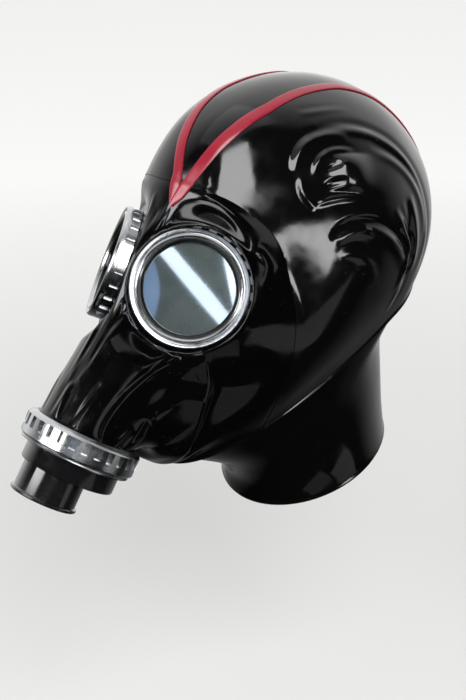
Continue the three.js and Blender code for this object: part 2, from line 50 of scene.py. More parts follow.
# Sizes shared with the part's source
HEAD_WIDTH = 156.0
HEAD_LENGTH = 190.0
HOOD_HEIGHT = 264.0
SHEET_GAP = 0.7
LENS_SPACING = 68.0
LENS_FORWARD = HEAD_LENGTH * 0.61368
LENS_DROP = HOOD_HEIGHT * 0.35227
LENS_SPLAY = math.radians(44)
LENS_LIFT = math.radians(23)
LENS_RING_RADIUS = 33.2
LENS_RING_BORE = 27.2
LENS_RING_HEIGHT = 9.2
LENS_NOTCHES = 24
LENS_NOTCH_DEPTH = 1.3
GASKET_BORE = 25.5
CONNECTOR_FORWARD = HEAD_LENGTH * 0.86632
CONNECTOR_DROP = HOOD_HEIGHT * 0.65644
CONNECTOR_TILT = math.radians(58.7)
CONNECTOR_LEAN = math.radians(5)
MOUTH_RADIUS = 27.5
MOUTH_FLARE = 1.1
RING_RADIUS = 33.8
RING_HEEL_RADIUS = 30.0
RING_HEIGHT = 16.4
RING_NOTCHES = 28
RING_NOTCH_START = 2.8
RING_NOTCH_HEIGHT = 6.2
BODY_DROP = 11.0
BODY_WALL = 3.0
STUB_RADIUS = 18.25
STUB_BORE = 15.4
STUB_LENGTH = 17.0
STUB_OFFSET = 9.0
LIP_RADIUS = 19.7
LIP_THICKNESS = 2.0
TRIM_WIDTH = 5.2
TRIM_THICKNESS = 0.9
TRIM_LEAN = 8.8

# Sizes of the pieces modelled here: finer than the part's own, or hidden by its plain solids
LENS_NOTCH_HEIGHT = 5.2
RING_NOTCH_DEPTH = 2.6
SHEET = 0.9
NECK_SHEET = 1.3 * SHEET
SEAT_FLAT = 34.5
SEAT_FADE = 50.0
SEAT_RELIEF = 7.0
EYE_MARGIN = 1.0
COLLAR_RADIUS = 35.4
COLLAR_HEIGHT = 0.6
COLLAR_WIDTH = 1.7
MOUTH_GAP = 0.3
SEAM_GAP = 0.12
SEAM_LAP_WIDTH = 1.6
FACE_LAP_DROP = 0.2
SKULL_LAP_RISE = 0.12
EDGE_BEAD_HEIGHT = 0.9
EDGE_BEAD_OFFSET = 0.5
EDGE_BEAD_WIDTH = 1.0
HEAD_WAVE = 0.16
HEAD_WAVE_LENGTH = 46.0
NECK_INSET = 2.3
NECK_BEAD = 0.5
NECK_WAVE = 0.5
NECK_WAVE_LENGTH = 38.0
TRIM_SHEET = 0.8 * TRIM_THICKNESS
TRIM_LIFT = 0.12
TRIM_TIP_LIFT = 0.45
FAR_TRIM_WIDTH = 1.25 * TRIM_WIDTH
PANE_FOOT = 2.2
PANE_HEIGHT = 4.0
PANE_DOME = 0.54
PANE_LAP = 0.6
PLUG_REAR = 3.3

# Lengths along the head and neck, in stations of the tables below, and as shares of the neck's rows
MOUTH_RELIEF = 0.25
EDGE_RELIEF = 0.25
EDGE_BAND = 0.12
NECK_TUCK = 0.1
NECK_CREASE = 0.15
NECK_BEAD_SHARE = 0.012

# How finely the meshes are divided
HEAD_COLUMNS = 400
HEAD_ROWS = 420
EDGE_ROWS = 16
NECK_ROWS = 130
TRIM_ROWS = 220
FOLD_STEPS = 28
SEAM_STEPS = 6
LENS_STEPS = 160
PANE_RINGS = 26
PLUG_STEPS = 144

# Sections of the head part, from the snout's mouth over the face and crown to the neck seam, as shares:
# y of HEAD_LENGTH, z of HOOD_HEIGHT and half of HEAD_WIDTH.
Section = namedtuple("Section", "name top_y top_z low_y low_z half widest top_power low_power")
SECTIONS = [
    Section("mouth", -0.989, -0.598, -0.737, -0.712, 0.176, 0.50, 1.00, 1.00),
    Section("snout", -0.921, -0.542, -0.690, -0.731, 0.190, 0.56, 0.90, 1.00),
    Section("cheek", -0.784, -0.439, -0.674, -0.761, 0.208, 0.62, 0.88, 1.00),
    Section("eyes", -0.668, -0.326, -0.653, -0.776, 0.234, 0.63, 0.93, 0.95),
    Section("brow", -0.579, -0.235, -0.637, -0.784, 0.259, 0.64, 1.00, 0.92),
    Section("forehead", -0.505, -0.144, -0.624, -0.790, 0.276, 0.63, 0.95, 0.90),
    Section("front", -0.353, -0.034, -0.611, -0.794, 0.301, 0.50, 0.82, 0.85),
    Section("crown", -0.068, 0.006, -0.600, -0.796, 0.397, 0.34, 0.98, 0.92),
    Section("back", 0.232, -0.040, -0.590, -0.798, 0.474, 0.31, 1.00, 1.10),
    Section("occiput", 0.442, -0.182, -0.582, -0.799, 0.465, 0.30, 1.00, 1.10),
    Section("nape", 0.468, -0.333, -0.574, -0.799, 0.420, 0.26, 0.90, 0.98),
    Section("seam", 0.400, -0.455, -0.566, -0.799, 0.380, 0.24, 0.70, 0.90),
]
NECK_SECTIONS = [
    Section("throat", 0.358, -0.552, -0.395, -0.842, 0.334, 0.45, 1.00, 0.95),
    Section("middle", 0.347, -0.670, -0.284, -0.890, 0.322, 0.49, 1.00, 1.00),
    Section("lower", 0.350, -0.768, -0.211, -0.947, 0.322, 0.50, 1.00, 1.00),
    Section("rim", 0.358, -0.850, -0.189, -1.000, 0.333, 0.50, 1.00, 1.00),
]
LAST_STATION = len(SECTIONS) - 1

# Face seam in side view, as shares of HEAD_LENGTH forward and HOOD_HEIGHT down
FACE_SEAM = [
    (0.62, 0.148),
    (0.503, 0.167),
    (0.418, 0.210),
    (0.350, 0.283),
    (0.328, 0.420),
    (0.333, 0.545),
    (0.352, 0.650),
    (0.356, 0.900),
]

# Crown trims: station, half their spacing as a share of HEAD_WIDTH, and share of TRIM_LEAN
TRIM_ROUTE = np.array([
    (4.42, 0.000, 0.87),
    (5.00, 0.026, 1.00),
    (5.50, 0.065, 0.80),
    (6.00, 0.097, 0.69),
    (6.50, 0.122, 0.50),
    (7.00, 0.125, 0.36),
    (7.50, 0.141, 0.14),
    (8.00, 0.173, 0.00),
    (8.50, 0.212, 0.00),
    (9.00, 0.231, 0.00),
    (10.0, 0.224, 0.00),
    (10.95, 0.192, 0.00),
])

# Folds of the sheet on each side: three places as (angle in degrees, station), reach and height in mm, and how
# deep the furrow beside the ridge is as a share of the height. A furrow with a minus sign lies on the other side.
Fold = namedtuple("Fold", "name start middle end reach height furrow")
FOLDS = [
    Fold("nose_crease_1", (9, 4.6), (8, 4.0), (5, 3.4), 1.5, 0.45, 0.6),
    Fold("nose_crease_2", (15, 4.5), (12, 4.0), (11, 3.6), 1.3, 0.35, 0.6),
    Fold("bridge_fold_1", (8, 3.2), (2, 2.0), (8, 0.9), 1.5, 0.45, 0.6),
    Fold("bridge_fold_2", (14, 2.6), (8, 1.7), (14, 0.8), 1.4, 0.4, -0.6),
    Fold("bridge_fold_3", (-6, 2.6), (-8, 1.8), (-4, 0.9), 1.6, 0.45, 0.6),
    Fold("mouth_pleat_1", (0, 1.1), (1, 0.8), (3, 0.3), 1.5, 0.5, 0.6),
    Fold("mouth_pleat_2", (32, 1.3), (31, 0.9), (30, 0.3), 1.5, 0.5, -0.6),
    Fold("mouth_pleat_3", (78, 1.0), (80, 0.7), (84, 0.15), 2.0, 0.7, 0.6),
    Fold("wavy_fold_low", (66, 0.3), (55, 0.8), (54, 1.45), 1.7, 0.45, 0.7),
    Fold("wavy_fold", (53, 1.2), (58, 2.1), (77, 3.9), 1.7, 0.45, 0.7),
    Fold("soft_fold", (50, 1.9), (55, 2.7), (72, 4.4), 2.6, 0.3, 0.5),
    Fold("cheek_crease", (113, 6.0), (88, 3.4), (84, 1.3), 4.5, 0.7, -0.8),
    Fold("cheek_pucker", (84, 1.5), (90, 1.1), (104, 0.5), 1.7, 0.7, -0.9),
    Fold("cheek_glint", (76, 1.9), (80, 1.7), (84, 1.75), 1.6, 0.5, 0.4),
    Fold("jowl", (118, 2.0), (134, 3.4), (146, 6.0), 12.0, 2.4, 0.0),
    Fold("lens_crease", (76, 6.2), (84, 6.38), (98, 6.62), 1.7, 0.8, 0.6),
    Fold("temple_fold", (95, 7.42), (91.5, 8.0), (93, 9.4), 2.6, 2.0, 0.9),
    Fold("temple_fold_low", (98, 7.6), (97, 7.9), (99, 8.6), 2.2, 0.8, 0.6),
    Fold("back_fold_1", (48, 7.0), (57, 8.1), (86, 9.9), 3.0, 1.2, 0.8),
    Fold("back_fold_2", (60, 7.6), (66, 8.4), (78, 9.2), 2.6, 0.9, 0.8),
    Fold("back_fold_3", (72, 8.4), (80, 8.8), (94, 9.7), 2.8, 1.1, -0.7),
    Fold("back_fold_4", (88, 8.5), (90, 9.0), (98, 10.1), 2.4, 0.9, 0.7),
    Fold("crown_crease", (34, 6.8), (36, 7.05), (37, 7.4), 2.0, 0.4, 0.5),
    Fold("back_crease", (82, 8.2), (90, 8.97), (96, 9.6), 2.4, 1.4, 0.8),
    Fold("ear_swell", (60, 7.3), (68, 7.34), (78, 7.4), 12.0, 4.2, 0.0),
    Fold("ear_rim_top", (59, 6.66), (49.5, 6.82), (52, 7.3), 2.7, 1.7, 0.4),
    Fold("ear_rim_front", (63, 6.74), (70, 6.77), (80, 6.97), 1.8, 1.1, -0.4),
    Fold("ear_fold_upper", (65, 6.88), (57.5, 7.02), (60, 7.38), 1.7, 1.1, 0.4),
    Fold("ear_hollow_upper", (64.5, 7.0), (64, 7.1), (64, 7.2), 1.7, -1.4, 0.0),
    Fold("ear_hollow_low", (72.0, 6.98), (71.5, 7.12), (72.5, 7.28), 1.8, -1.7, 0.0),
    Fold("ear_fold_low", (78, 6.95), (79, 7.18), (81, 7.55), 1.8, 1.2, 0.4),
]


def smoothstep(x, low, high):
    t = np.clip((x - low) / (high - low), 0, 1)
    return t * t * (3 - 2 * t)


def unit(v):
    v = np.asarray(v, float)
    return v / np.maximum(np.linalg.norm(v, axis=-1, keepdims=True), 1e-9)


def natural_spline(values):
    """A natural cubic spline through values at 0, 1, 2 and so on, as a function of an array."""
    values = np.asarray(values, float)
    count = len(values)
    matrix = np.eye(count)
    bend = np.zeros(count)
    for i in range(1, count - 1):
        matrix[i, i - 1 : i + 2] = 1, 4, 1
        bend[i] = 6 * (values[i - 1] - 2 * values[i] + values[i + 1])
    curve = np.linalg.solve(matrix, bend)

    def at(t):
        t = np.clip(t, 0, count - 1)
        i = np.minimum(t.astype(int), count - 2)
        b = t - i
        a = 1 - b
        return a * values[i] + b * values[i + 1] + ((a**3 - a) * curve[i] + (b**3 - b) * curve[i + 1]) / 6

    return at


def section_columns(rows):
    sizes = {"top_y": HEAD_LENGTH, "low_y": HEAD_LENGTH, "half": HEAD_WIDTH}
    sizes |= {"top_z": HOOD_HEIGHT, "low_z": HOOD_HEIGHT}
    names = [name for name in Section._fields if name != "name"]
    return {n: natural_spline([getattr(row, n) * sizes.get(n, 1) for row in rows]) for n in names}


def section_point(columns, angle, station):
    """Points of sections; angle 0 is the outer bend and pi the inner bend."""
    c = {name: curve(station) for name, curve in columns.items()}
    cosine, sine = np.cos(angle), np.sin(angle)
    upper = cosine > 0
    middle_y = c["top_y"] + (c["low_y"] - c["top_y"]) * c["widest"]
    middle_z = c["top_z"] + (c["low_z"] - c["top_z"]) * c["widest"]
    y = middle_y + (np.where(upper, c["top_y"], c["low_y"]) - middle_y) * np.abs(cosine)
    z = middle_z + (np.where(upper, c["top_z"], c["low_z"]) - middle_z) * np.abs(cosine)
    power = np.where(upper, c["top_power"], c["low_power"])
    x = c["half"] * np.sign(sine) * np.abs(sine) ** power
    return np.stack([x, y, z], -1)


# Axes of the lenses and the connector
def lens_axis(side):
    flat = math.cos(LENS_LIFT)
    return np.array([side * math.sin(LENS_SPLAY) * flat, -math.cos(LENS_SPLAY) * flat, math.sin(LENS_LIFT)])


def lens_seat(side):
    front = np.array([side * LENS_SPACING / 2, -LENS_FORWARD, -LENS_DROP])
    return front - lens_axis(side) * (LENS_RING_HEIGHT + SHEET_GAP)


CONNECTOR_AXIS = np.array([
    -math.sin(CONNECTOR_TILT) * math.sin(CONNECTOR_LEAN),
    -math.cos(CONNECTOR_TILT),
    -math.sin(CONNECTOR_TILT) * math.cos(CONNECTOR_LEAN),
])
CONNECTOR_SEAT = np.array([0, -CONNECTOR_FORWARD, -CONNECTOR_DROP])
CONNECTOR_UP = np.array([0, -math.sin(CONNECTOR_TILT), math.cos(CONNECTOR_TILT)])
CONNECTOR_ACROSS = unit(np.cross(CONNECTOR_UP, CONNECTOR_AXIS))
CONNECTOR_RISE = unit(np.cross(CONNECTOR_AXIS, CONNECTOR_ACROSS))


def on_connector(angle, radius, height):
    ring = CONNECTOR_RISE * np.cos(angle)[..., None] + CONNECTOR_ACROSS * np.sin(angle)[..., None]
    return CONNECTOR_SEAT + CONNECTOR_AXIS * height + ring * radius


def seat_lenses(point):
    """The sheet lies flat against the back of the lens ring on its own side, and rises in a collar round it."""
    left = point[..., :1] >= 0
    axis = np.where(left, lens_axis(1), lens_axis(-1))
    seat = np.where(left, lens_seat(1), lens_seat(-1))
    slide = unit(axis * [0, 1, 1])
    height = ((point - seat) * axis).sum(-1, keepdims=True)
    target = point - slide * height / (slide * axis).sum(-1, keepdims=True)
    distance = np.linalg.norm(target - seat, axis=-1, keepdims=True)
    near = 1 - smoothstep(np.abs(height), SEAT_FADE / 3, SEAT_FADE)
    share = near * (1 - smoothstep(distance, SEAT_FLAT, SEAT_FADE))
    collar = near * COLLAR_HEIGHT * np.exp(-(((distance - COLLAR_RADIUS) / COLLAR_WIDTH) ** 2))
    return point + (target - point) * share + axis * collar


HEAD = section_columns(SECTIONS)


def plain_head(angle, station):
    point = section_point(HEAD, angle, station)
    rim = on_connector(angle, MOUTH_RADIUS + MOUTH_FLARE, -MOUTH_GAP)
    point = point + (rim - point) * (1 - smoothstep(station, 0, 1))[..., None]
    return seat_lenses(point)


def grid_normals(grid):
    """Outward normals of a grid whose columns go round and whose rows go along."""
    wrapped = np.concatenate([grid[-1:], grid, grid[:1]])
    return unit(np.cross(np.gradient(wrapped, axis=0)[1:-1], np.gradient(grid, axis=1)))


class Sheet:
    """A sheet as a grid of points over angle and row, with its normals."""

    def __init__(self, grid):
        self.grid = grid
        self.normals = grid_normals(grid)

    def raised(self, rise):
        return Sheet(self.grid + self.normals * rise[..., None])

    def sample(self, column, row, lift=0.0):
        """Points at fractional columns and rows, lifted along the normal."""
        i = np.floor(column).astype(int)
        j = np.clip(np.floor(row).astype(int), 0, self.grid.shape[1] - 2)
        a, b = (column - i)[..., None], (row - j)[..., None]
        i, k = i % len(self.grid), (i + 1) % len(self.grid)

        def mixed(values):
            here = values[i, j] * (1 - b) + values[i, j + 1] * b
            return here * (1 - a) + (values[k, j] * (1 - b) + values[k, j + 1] * b) * a

        return mixed(self.grid) + unit(mixed(self.normals)) * np.asarray(lift)[..., None]


# How far a fold is felt and where its furrow lies, as multiples of its reach, and how bluntly its ends die out
FOLD_MARGIN = 3.2
FURROW_SHIFT = 1.7
FOLD_TAPER = 0.7


def fold_line(fold, side):
    """A fold's middle line on the plain head: a curve through its three places."""
    t = np.linspace(0, 1, FOLD_STEPS)
    start, middle, end = (np.array(place, float) for place in (fold.start, fold.middle, fold.end))
    bend = 2 * middle - (start + end) / 2
    place = np.outer((1 - t) ** 2, start) + np.outer(2 * t * (1 - t), bend) + np.outer(t**2, end)
    return plain_head(side * np.radians(place[:, 0]), place[:, 1])


def fold_rise(points, normals, line, fold, side):
    """How far a fold lifts each point: a soft ridge with a furrow on one side, dying out at both ends."""
    margin = FOLD_MARGIN * fold.reach
    inside = np.all((points > line.min(0) - margin) & (points < line.max(0) + margin), axis=-1)
    near = points[inside]
    rise = np.zeros(points.shape[:-1])
    if not len(near):
        return rise
    best = np.full(len(near), np.inf)
    offset = np.zeros(len(near))
    along = np.zeros(len(near))
    for k in range(len(line) - 1):
        step = line[k + 1] - line[k]
        t = np.clip((near - line[k]) @ step / (step @ step), 0, 1)
        gap = near - line[k] - t[:, None] * step
        distance = np.linalg.norm(gap, axis=1)
        closer = distance < best
        best = np.where(closer, distance, best)
        turn = np.sign((np.cross(step, gap) * normals[inside]).sum(1)) * side
        offset = np.where(closer, turn * distance, offset)
        along = np.where(closer, (k + t) / (len(line) - 1), along)
    taper = np.sin(np.pi * np.clip(along, 0.001, 0.999)) ** FOLD_TAPER
    ridge = np.exp(-((best / fold.reach) ** 2))
    shift = FURROW_SHIFT * fold.reach * (1 if fold.furrow > 0 else -1)
    furrow = abs(fold.furrow) * np.exp(-(((offset - shift) / fold.reach) ** 2))
    past_end = np.sqrt(np.maximum(best**2 - offset**2, 0))
    furrow *= np.exp(-((past_end / fold.reach) ** 2))
    rise[inside] = fold.height * taper * (ridge - furrow)
    return rise


WAVES = 7
WAVE_LENGTHS = (0.7, 1.4)


def smooth_noise(points, size, seed):
    """Gentle waves over space: seeded sine waves whose lengths lie round a given one."""
    chance = np.random.default_rng(seed)
    total = np.zeros(points.shape[:-1])
    for _ in range(WAVES):
        wave = unit(chance.normal(size=3)) * 2 * np.pi / (size * chance.uniform(*WAVE_LENGTHS))
        total += np.sin(points @ wave + chance.uniform(0, 2 * np.pi))
    return total / WAVES


# Signed distances that say which panel a point of the head belongs to
def polyline(points, steps):
    """A Catmull-Rom curve through points, as many straight steps."""
    points = np.array(points, float)
    padded = np.vstack([2 * points[0] - points[1], points, 2 * points[-1] - points[-2]])
    made = []
    for k in range(len(points) - 1):
        a, b, c, d = padded[k : k + 4]
        t = np.linspace(0, 1, steps, endpoint=False)[:, None]
        square = (2 * a - 5 * b + 4 * c - d) * t**2
        cube = (3 * b - a - 3 * c + d) * t**3
        made.append((2 * b + (c - a) * t + square + cube) / 2)
    return np.vstack([*made, points[-1:]])


def behind_face_seam(points):
    """Distance in side view from the face seam, positive behind it. The seam's ends run on past the head."""
    route = polyline([(-f * HEAD_LENGTH, -d * HOOD_HEIGHT) for f, d in FACE_SEAM], SEAM_STEPS)
    beyond = 3 * HOOD_HEIGHT
    route = np.vstack([[-beyond, route[0, 1]], route, [route[-1, 0], -beyond]])
    flat = points[..., 1:]
    best = np.full(points.shape[:-1], np.inf)
    signed = np.zeros(points.shape[:-1])
    for k in range(len(route) - 1):
        step = route[k + 1] - route[k]
        t = np.clip((flat - route[k]) @ step / (step @ step), 0, 1)
        gap = flat - route[k] - t[..., None] * step
        distance = np.hypot(gap[..., 0], gap[..., 1])
        turn = np.sign(step[0] * gap[..., 1] - step[1] * gap[..., 0])
        closer = distance < best
        signed = np.where(closer, turn * distance, signed)
        best = np.where(closer, distance, best)
    return signed


def trim_middle(station):
    lean = np.interp(station, TRIM_ROUTE[:, 0], TRIM_ROUTE[:, 2]) * TRIM_LEAN
    spread = np.interp(station, TRIM_ROUTE[:, 0], TRIM_ROUTE[:, 1]) * HEAD_WIDTH
    return lean, spread


def outside_crown(points, angle, station):
    """Sideways distance from the crown panel between its two seams, negative inside it."""
    lean, spread = trim_middle(station)
    across = np.abs(points[..., 0] - lean) - spread
    on_top = (np.abs(angle) < np.pi / 2) & (station > TRIM_ROUTE[0, 0])
    return np.where(on_top, across, HEAD_WIDTH)


# Meshes
def clipped(vertices, triangles, field):
    """The part of a triangle mesh where field, a value at each vertex, is negative."""
    inside = field[triangles] < 0
    count = inside.sum(1)
    kept = [triangles[count == 3]]
    edges = {}
    added = []

    def crossing(a, b):
        key = (a, b) if a < b else (b, a)
        if key not in edges:
            share = field[key[0]] / (field[key[0]] - field[key[1]])
            added.append(vertices[key[0]] + (vertices[key[1]] - vertices[key[0]]) * share)
            edges[key] = len(vertices) + len(added) - 1
        return edges[key]

    made = []
    cut = (count == 1) | (count == 2)
    for corners, corners_inside in zip(triangles[cut], inside[cut]):
        lone = corners_inside.sum() == 1
        turn = int(np.argmax(corners_inside) if lone else np.argmin(corners_inside))
        a, b, c = (int(corners[(turn + k) % 3]) for k in range(3))
        if lone:
            made.append((a, crossing(a, b), crossing(a, c)))
        else:
            ab, ac = crossing(a, b), crossing(a, c)
            made += [(ab, b, c), (ab, c, ac)]
    kept.append(np.array(made, int).reshape(-1, 3))
    return np.vstack([vertices, *[v[None] for v in added]]), np.vstack(kept)


def used_only(vertices, faces):
    """Drops the vertices that no face uses."""
    used, inverse = np.unique(faces, return_inverse=True)
    return vertices[used], inverse.reshape(faces.shape)


def grid_triangles(columns, rows, closed=True):
    """Triangles over a grid of vertices, closed round its columns or open."""
    i, j = np.meshgrid(np.arange(columns if closed else columns - 1), np.arange(rows - 1), indexing="ij")
    k = (i + 1) % columns
    a, b, c, d = i * rows + j, k * rows + j, k * rows + j + 1, i * rows + j + 1
    return np.stack([np.stack([a, b, c], -1), np.stack([a, c, d], -1)], 2).reshape(-1, 3)


def add_mesh(name, vertices, faces, material, sharp=40, matrix=None):
    """A smooth-shaded piece that rides on the part's body. faces is an array of triangles or of quads."""
    mesh = bpy.data.meshes.new(name)
    vertices = np.asarray(vertices, float) * MM
    faces = np.asarray(faces, int)
    size = faces.shape[1]
    mesh.vertices.add(len(vertices))
    mesh.vertices.foreach_set("co", vertices.astype(np.float32).ravel())
    mesh.loops.add(faces.size)
    mesh.loops.foreach_set("vertex_index", faces.ravel())
    mesh.polygons.add(len(faces))
    mesh.polygons.foreach_set("loop_start", np.arange(0, faces.size, size))
    mesh.update(calc_edges=True)
    mesh.validate()
    mesh.polygons.foreach_set("use_smooth", np.ones(len(mesh.polygons), bool))
    mesh.set_sharp_from_angle(angle=math.radians(sharp))
    mesh.materials.append(material)
    piece = bpy.data.objects.new(name, mesh)
    bpy.context.scene.collection.objects.link(piece)
    if matrix is not None:
        piece.matrix_world = matrix
    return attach(piece, BODY)


def walled(vertices, triangles, normals_of, depth):
    """Adds a thin wall down from the open edges of a mesh, as the sheet's cut edge."""
    edges = np.vstack([triangles[:, [0, 1]], triangles[:, [1, 2]], triangles[:, [2, 0]]])
    key = np.sort(edges, 1)
    _, first, counts = np.unique(key, axis=0, return_index=True, return_counts=True)
    open_edges = edges[first[counts == 1]]
    ring, inverse = np.unique(open_edges, return_inverse=True)
    inverse = inverse.reshape(open_edges.shape) + len(vertices)
    lowered = vertices[ring] - normals_of[ring] * depth
    wall = np.vstack([
        np.stack([open_edges[:, 1], open_edges[:, 0], inverse[:, 0]], 1),
        np.stack([open_edges[:, 1], inverse[:, 0], inverse[:, 1]], 1),
    ])
    return np.vstack([vertices, lowered]), np.vstack([triangles, wall])


def vertex_normals(vertices, triangles):
    """Normals at the vertices, from the faces round each."""
    a, b, c = (vertices[triangles[:, k]] for k in range(3))
    flat = np.cross(b - a, c - a)
    total = np.zeros_like(vertices)
    for k in range(3):
        np.add.at(total, triangles[:, k], flat)
    return unit(total)


# Materials
def new_material(name, color, roughness, metallic=0.0, **sockets):
    """A material with constant values on its shader; a socket's name is given with _ for each space."""
    material = bpy.data.materials.new(name)
    material.use_nodes = True
    shader = material.node_tree.nodes["Principled BSDF"]
    shader.inputs["Base Color"].default_value = (*color, 1)
    shader.inputs["Roughness"].default_value = roughness
    shader.inputs["Metallic"].default_value = metallic
    for socket, value in sockets.items():
        shader.inputs[socket.replace("_", " ")].default_value = value
    return material, material.node_tree, shader


def node(tree, kind, **settings):
    made = tree.nodes.new(kind)
    for name, value in settings.items():
        if name in made.inputs:
            made.inputs[name].default_value = value
        else:
            setattr(made, name, value)
    return made


def object_space(tree):
    return node(tree, "ShaderNodeTexCoord").outputs["Object"]


def noise(tree, scale, detail=2.0):
    """Noise in the piece's own space, per metre."""
    made = node(tree, "ShaderNodeTexNoise", Scale=scale, Detail=detail)
    tree.links.new(object_space(tree), made.inputs["Vector"])
    return made.outputs["Fac"]


def product(tree, first, second):
    made = node(tree, "ShaderNodeMath", operation="MULTIPLY")
    tree.links.new(first, made.inputs[0])
    tree.links.new(second, made.inputs[1])
    return made.outputs[0]


def mixed_color(tree, share, color_a, color_b):
    made = node(tree, "ShaderNodeMix", data_type="RGBA")
    made.inputs["A"].default_value = (*color_a, 1)
    made.inputs["B"].default_value = (*color_b, 1)
    tree.links.new(share, made.inputs["Factor"])
    return made.outputs["Result"]


def spread(tree, value, low, high, to_low, to_high):
    """Maps low…high to to_low…to_high, and stays level beyond."""
    made = node(tree, "ShaderNodeMapRange")
    for name, number in zip(("From Min", "From Max", "To Min", "To Max"), (low, high, to_low, to_high)):
        made.inputs[name].default_value = number
    tree.links.new(value, made.inputs["Value"])
    return made.outputs["Result"]


def bump(tree, shader, heights):
    """Chains bumps of (height output, strength, distance in metres) into the shader's normal."""
    last = None
    for height, strength, distance in heights:
        made = node(tree, "ShaderNodeBump", Strength=strength, Distance=distance)
        tree.links.new(height, made.inputs["Height"])
        if last is not None:
            tree.links.new(last, made.inputs["Normal"])
        last = made.outputs["Normal"]
    tree.links.new(last, shader.inputs["Normal"])


def rubber_material(name, color, dust_color, low, high):
    """Glossy rubber sheet: slightly uneven gloss, faint waves and a little dust."""
    material, tree, shader = new_material(name, color, low, IOR=1.5)
    tree.links.new(spread(tree, noise(tree, 90), 0.35, 0.7, low, high), shader.inputs["Roughness"])
    specks = node(tree, "ShaderNodeTexVoronoi", Scale=260.0)
    tree.links.new(object_space(tree), specks.inputs["Vector"])
    dust = spread(tree, specks.outputs["Distance"], 0.05, 0.09, 1, 0)
    patches = spread(tree, noise(tree, 28), 0.5, 0.62, 0, 1)
    dusty = mixed_color(tree, product(tree, dust, patches), color, dust_color)
    tree.links.new(dusty, shader.inputs["Base Color"])
    bump(tree, shader, [(noise(tree, 60, 1), 0.25, 0.0006), (noise(tree, 900, 2), 0.05, 0.0001)])
    return material


def metal_material():
    """Turned metal: fine rings round the axis and soft clouding."""
    material, tree, shader = new_material("turned_metal", (0.46, 0.47, 0.48), 0.2, 1.0)
    rings = node(tree, "ShaderNodeTexWave", wave_type="RINGS", rings_direction="Z", Scale=900.0, Distortion=1.0)
    tree.links.new(object_space(tree), rings.inputs["Vector"])
    tree.links.new(spread(tree, noise(tree, 140), 0.3, 0.7, 0.16, 0.28), shader.inputs["Roughness"])
    bump(tree, shader, [(rings.outputs["Fac"], 0.15, 0.00004)])
    return material


def plastic_material():
    """Moulded black plastic with a faint orange-peel skin."""
    material, tree, shader = new_material(
        "black_plastic", (0.004, 0.004, 0.0045), 0.2, IOR=1.5, Coat_Weight=1.0, Coat_Roughness=0.08
    )
    tree.links.new(spread(tree, noise(tree, 200), 0.3, 0.7, 0.14, 0.28), shader.inputs["Roughness"])
    bump(tree, shader, [(noise(tree, 700), 0.08, 0.0001)])
    return material


def glass_material():
    """Smoked pane with a bluish coat and a little haze."""
    material, tree, shader = new_material(
        "lens_glass", (0.055, 0.07, 0.07), 0.05, IOR=2.0, Coat_Weight=1.0, Coat_Roughness=0.02,
        Transmission_Weight=0.15, Specular_Tint=(0.6, 0.78, 1, 1)
    )
    clouds = spread(tree, noise(tree, 60), 0.3, 0.7, 0, 1)
    haze = mixed_color(tree, clouds, (0.045, 0.058, 0.058), (0.075, 0.09, 0.09))
    tree.links.new(haze, shader.inputs["Base Color"])
    bump(tree, shader, [(noise(tree, 40, 1), 0.1, 0.0004)])
    return material


BLACK = rubber_material("black_rubber", (0.0016, 0.0016, 0.0018), (0.05, 0.05, 0.05), 0.07, 0.16)
CRIMSON = rubber_material("crimson_rubber", (0.22, 0.009, 0.022), (0.3, 0.1, 0.12), 0.18, 0.28)
METAL = metal_material()
PLASTIC = plastic_material()
GLASS = glass_material()


# The head's smooth sheet and its panels. Its rows lie closer together at the edge over the neck.
ANGLES = (np.arange(HEAD_COLUMNS) / HEAD_COLUMNS * 2 - 1) * np.pi
even_rows = np.linspace(0, LAST_STATION - EDGE_BAND, HEAD_ROWS - EDGE_ROWS)
edge_rows = LAST_STATION - EDGE_BAND * (1 - np.arange(1, EDGE_ROWS + 1) / EDGE_ROWS)
STATIONS = np.append(even_rows, edge_rows)
ANGLE, STATION = np.meshgrid(ANGLES, STATIONS, indexing="ij")
plain = Sheet(plain_head(ANGLE, STATION))
face_side = behind_face_seam(plain.grid)
crown_side = outside_crown(plain.grid, ANGLE, STATION)
to_lens = np.minimum(*(np.linalg.norm(plain.grid - lens_seat(side), axis=-1) for side in (1, -1)))


def head_rise():
    """How far folds, waves and the edge's bead lift the plain head, and where the sheet is free to move."""
    rise = np.zeros(plain.grid.shape[:2])
    for fold in FOLDS:
        for side in (1, -1):
            rise += fold_rise(plain.grid, plain.normals, fold_line(fold, side), fold, side)
    free = smoothstep(to_lens, LENS_RING_RADIUS, LENS_RING_RADIUS + SEAT_RELIEF)
    rise *= free * smoothstep(STATION, 0, MOUTH_RELIEF)
    waves = HEAD_WAVE * smooth_noise(plain.grid, HEAD_WAVE_LENGTH, seed=3)
    waves *= free * (1 - smoothstep(STATION, LAST_STATION - EDGE_RELIEF, LAST_STATION))
    to_edge = np.linalg.norm(plain.grid - plain.grid[:, -1:], axis=-1)
    bead = EDGE_BEAD_HEIGHT * np.exp(-(((to_edge - EDGE_BEAD_OFFSET) / EDGE_BEAD_WIDTH) ** 2))
    return rise + waves + bead, free


rise, free = head_rise()
head = plain.raised(rise)
seam_lap = np.exp(-((face_side / SEAM_LAP_WIDTH) ** 2)) * free
under_head = head.raised(-FACE_LAP_DROP * seam_lap)
over_head = head.raised(SKULL_LAP_RISE * seam_lap)


